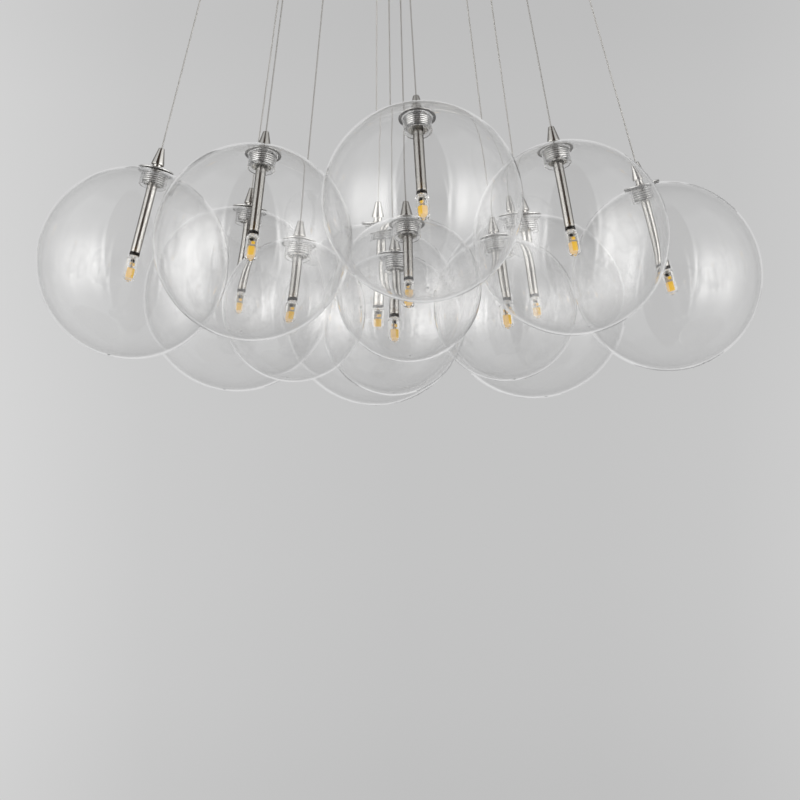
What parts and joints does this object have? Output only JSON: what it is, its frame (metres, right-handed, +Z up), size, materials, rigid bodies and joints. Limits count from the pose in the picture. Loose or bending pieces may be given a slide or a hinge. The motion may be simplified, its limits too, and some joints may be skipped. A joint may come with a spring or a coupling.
{
  "type": "pendant light",
  "caption": "Cluster pendant light: clear glass globes of two sizes on thin taut cables from a round ceiling canopy, each with a metal cap, a stem and a capsule lamp at its middle.",
  "frame": {"origin": "middle of the ceiling bar's upper face, where the light is fastened to the ceiling", "axes": "+Z up, out of the light into the ceiling; -Y towards the side that the picture was taken from; +X to the right of the picture"},
  "size_m": [0.7556, 0.8173, 0.554],
  "materials": {
    "clear_glass": "clear blown glass, polished",
    "polished_nickel": "polished nickel plate",
    "satin_nickel": "satin nickel plate",
    "clear_jacket": "thin clear jacket over tinned strands",
    "lamp_resin": "clear silicone capsule with phosphor strips",
    "zinc_plate": "zinc plated steel",
    "white_plastic": "moulded, matt"
  },
  "bodies": {
    "canopy": {"ceiling_bar": "zinc_plate", "canopy_shell": "satin_nickel", "cap_nut_left": "satin_nickel", "cap_nut_right": "satin_nickel", "led_driver": "white_plastic", "terminal_block": "white_plastic"},
    "drop_01": {"cable_01": "clear_jacket", "stem_01": "polished_nickel", "globe_01": "clear_glass"},
    "lamp_01": {"bulb_01": "lamp_resin"},
    "drop_02": {"cable_02": "clear_jacket", "stem_02": "polished_nickel", "globe_02": "clear_glass"},
    "lamp_02": {"bulb_02": "lamp_resin"},
    "drop_03": {"cable_03": "clear_jacket", "stem_03": "polished_nickel", "globe_03": "clear_glass"},
    "lamp_03": {"bulb_03": "lamp_resin"},
    "drop_04": {"cable_04": "clear_jacket", "stem_04": "polished_nickel", "globe_04": "clear_glass"},
    "lamp_04": {"bulb_04": "lamp_resin"},
    "drop_05": {"cable_05": "clear_jacket", "stem_05": "polished_nickel", "globe_05": "clear_glass"},
    "lamp_05": {"bulb_05": "lamp_resin"},
    "drop_06": {"cable_06": "clear_jacket", "stem_06": "polished_nickel", "globe_06": "clear_glass"},
    "lamp_06": {"bulb_06": "lamp_resin"},
    "drop_07": {"cable_07": "clear_jacket", "stem_07": "polished_nickel", "globe_07": "clear_glass"},
    "lamp_07": {"bulb_07": "lamp_resin"},
    "drop_08": {"cable_08": "clear_jacket", "stem_08": "polished_nickel", "globe_08": "clear_glass"},
    "lamp_08": {"bulb_08": "lamp_resin"},
    "drop_09": {"cable_09": "clear_jacket", "stem_09": "polished_nickel", "globe_09": "clear_glass"},
    "lamp_09": {"bulb_09": "lamp_resin"},
    "drop_10": {"cable_10": "clear_jacket", "stem_10": "polished_nickel", "globe_10": "clear_glass"},
    "lamp_10": {"bulb_10": "lamp_resin"},
    "drop_11": {"cable_11": "clear_jacket", "stem_11": "polished_nickel", "globe_11": "clear_glass"},
    "lamp_11": {"bulb_11": "lamp_resin"},
    "drop_12": {"cable_12": "clear_jacket", "stem_12": "polished_nickel", "globe_12": "clear_glass"},
    "lamp_12": {"bulb_12": "lamp_resin"}
  },
  "joints": [
    {"name": "swing_01", "type": "hinge", "parent": "canopy", "child": "drop_01", "pos_m": [-0.1744, -0.07046, -0.052], "axis": [-0.1736, 0.9848, 0], "range_deg": [0, 12]},
    {"name": "pull_01", "type": "slide", "parent": "drop_01", "child": "lamp_01", "axis": [-0.2366, -0.0006, -0.9716], "range_m": [0, 0.009]},
    {"name": "swing_02", "type": "hinge", "parent": "canopy", "child": "drop_02", "pos_m": [-0.09834, -0.1305, -0.052], "axis": [-0.7193, 0.6947, 0], "range_deg": [0, 12]},
    {"name": "pull_02", "type": "slide", "parent": "drop_02", "child": "lamp_02", "axis": [-0.1018, -0.239, -0.9657], "range_m": [0, 0.009]},
    {"name": "swing_03", "type": "hinge", "parent": "canopy", "child": "drop_03", "pos_m": [0.01034, -0.19733, -0.052], "axis": [-0.9962, -0.0872, 0], "range_deg": [0, 12]},
    {"name": "pull_03", "type": "slide", "parent": "drop_03", "child": "lamp_03", "axis": [0.0492, -0.3401, -0.9391], "range_m": [0, 0.009]},
    {"name": "swing_04", "type": "hinge", "parent": "canopy", "child": "drop_04", "pos_m": [0.1196, -0.09685, -0.052], "axis": [-0.6691, -0.7431, 0], "range_deg": [0, 12]},
    {"name": "pull_04", "type": "slide", "parent": "drop_04", "child": "lamp_04", "axis": [0.1603, -0.1898, -0.9687], "range_m": [0, 0.009]},
    {"name": "swing_05", "type": "hinge", "parent": "canopy", "child": "drop_05", "pos_m": [0.17889, -0.05813, -0.052], "axis": [0.0349, -0.9994, 0], "range_deg": [0, 12]},
    {"name": "pull_05", "type": "slide", "parent": "drop_05", "child": "lamp_05", "axis": [0.2735, 0.198, -0.9413], "range_m": [0, 0.009]},
    {"name": "swing_06", "type": "hinge", "parent": "canopy", "child": "drop_06", "pos_m": [0.10177, 0.16938, -0.052], "axis": [0.7314, -0.682, 0], "range_deg": [0, 12]},
    {"name": "pull_06", "type": "slide", "parent": "drop_06", "child": "lamp_06", "axis": [0.1313, 0.0165, -0.9912], "range_m": [0, 0.009]},
    {"name": "swing_07", "type": "hinge", "parent": "canopy", "child": "drop_07", "pos_m": [-0.01722, 0.19685, -0.052], "axis": [0.9962, 0.0872, 0], "range_deg": [0, 12]},
    {"name": "pull_07", "type": "slide", "parent": "drop_07", "child": "lamp_07", "axis": [-0.0025, 0.2282, -0.9736], "range_m": [0, 0.009]},
    {"name": "swing_08", "type": "hinge", "parent": "canopy", "child": "drop_08", "pos_m": [-0.11724, 0.13973, -0.052], "axis": [0.5299, 0.848, 0], "range_deg": [0, 12]},
    {"name": "pull_08", "type": "slide", "parent": "drop_08", "child": "lamp_08", "axis": [-0.1279, -0.0114, -0.9917], "range_m": [0, 0.009]},
    {"name": "turn_09", "type": "hinge", "parent": "canopy", "child": "drop_09", "pos_m": [-0.0666, 0.03248, -0.052], "axis": [0.0831, 0.1329, 0.9876], "range_deg": [-180, 180]},
    {"name": "pull_09", "type": "slide", "parent": "drop_09", "child": "lamp_09", "axis": [-0.0831, -0.1329, -0.9876], "range_m": [0, 0.009]},
    {"name": "turn_10", "type": "hinge", "parent": "canopy", "child": "drop_10", "pos_m": [0.00628, -0.02192, -0.052], "axis": [-0.0239, 0.225, 0.9741], "range_deg": [-180, 180]},
    {"name": "pull_10", "type": "slide", "parent": "drop_10", "child": "lamp_10", "axis": [0.0239, -0.225, -0.9741], "range_m": [0, 0.009]},
    {"name": "turn_11", "type": "hinge", "parent": "canopy", "child": "drop_11", "pos_m": [0.06836, 0.00239, -0.052], "axis": [-0.1177, 0.0198, 0.9929], "range_deg": [-180, 180]},
    {"name": "pull_11", "type": "slide", "parent": "drop_11", "child": "lamp_11", "axis": [0.1177, -0.0198, -0.9929], "range_m": [0, 0.009]},
    {"name": "turn_12", "type": "hinge", "parent": "canopy", "child": "drop_12", "pos_m": [-0.00438, 0.12532, -0.052], "axis": [-0.0122, 0.0791, 0.9968], "range_deg": [-180, 180]},
    {"name": "pull_12", "type": "slide", "parent": "drop_12", "child": "lamp_12", "axis": [0.0122, -0.0791, -0.9968], "range_m": [0, 0.009]}
  ]
}
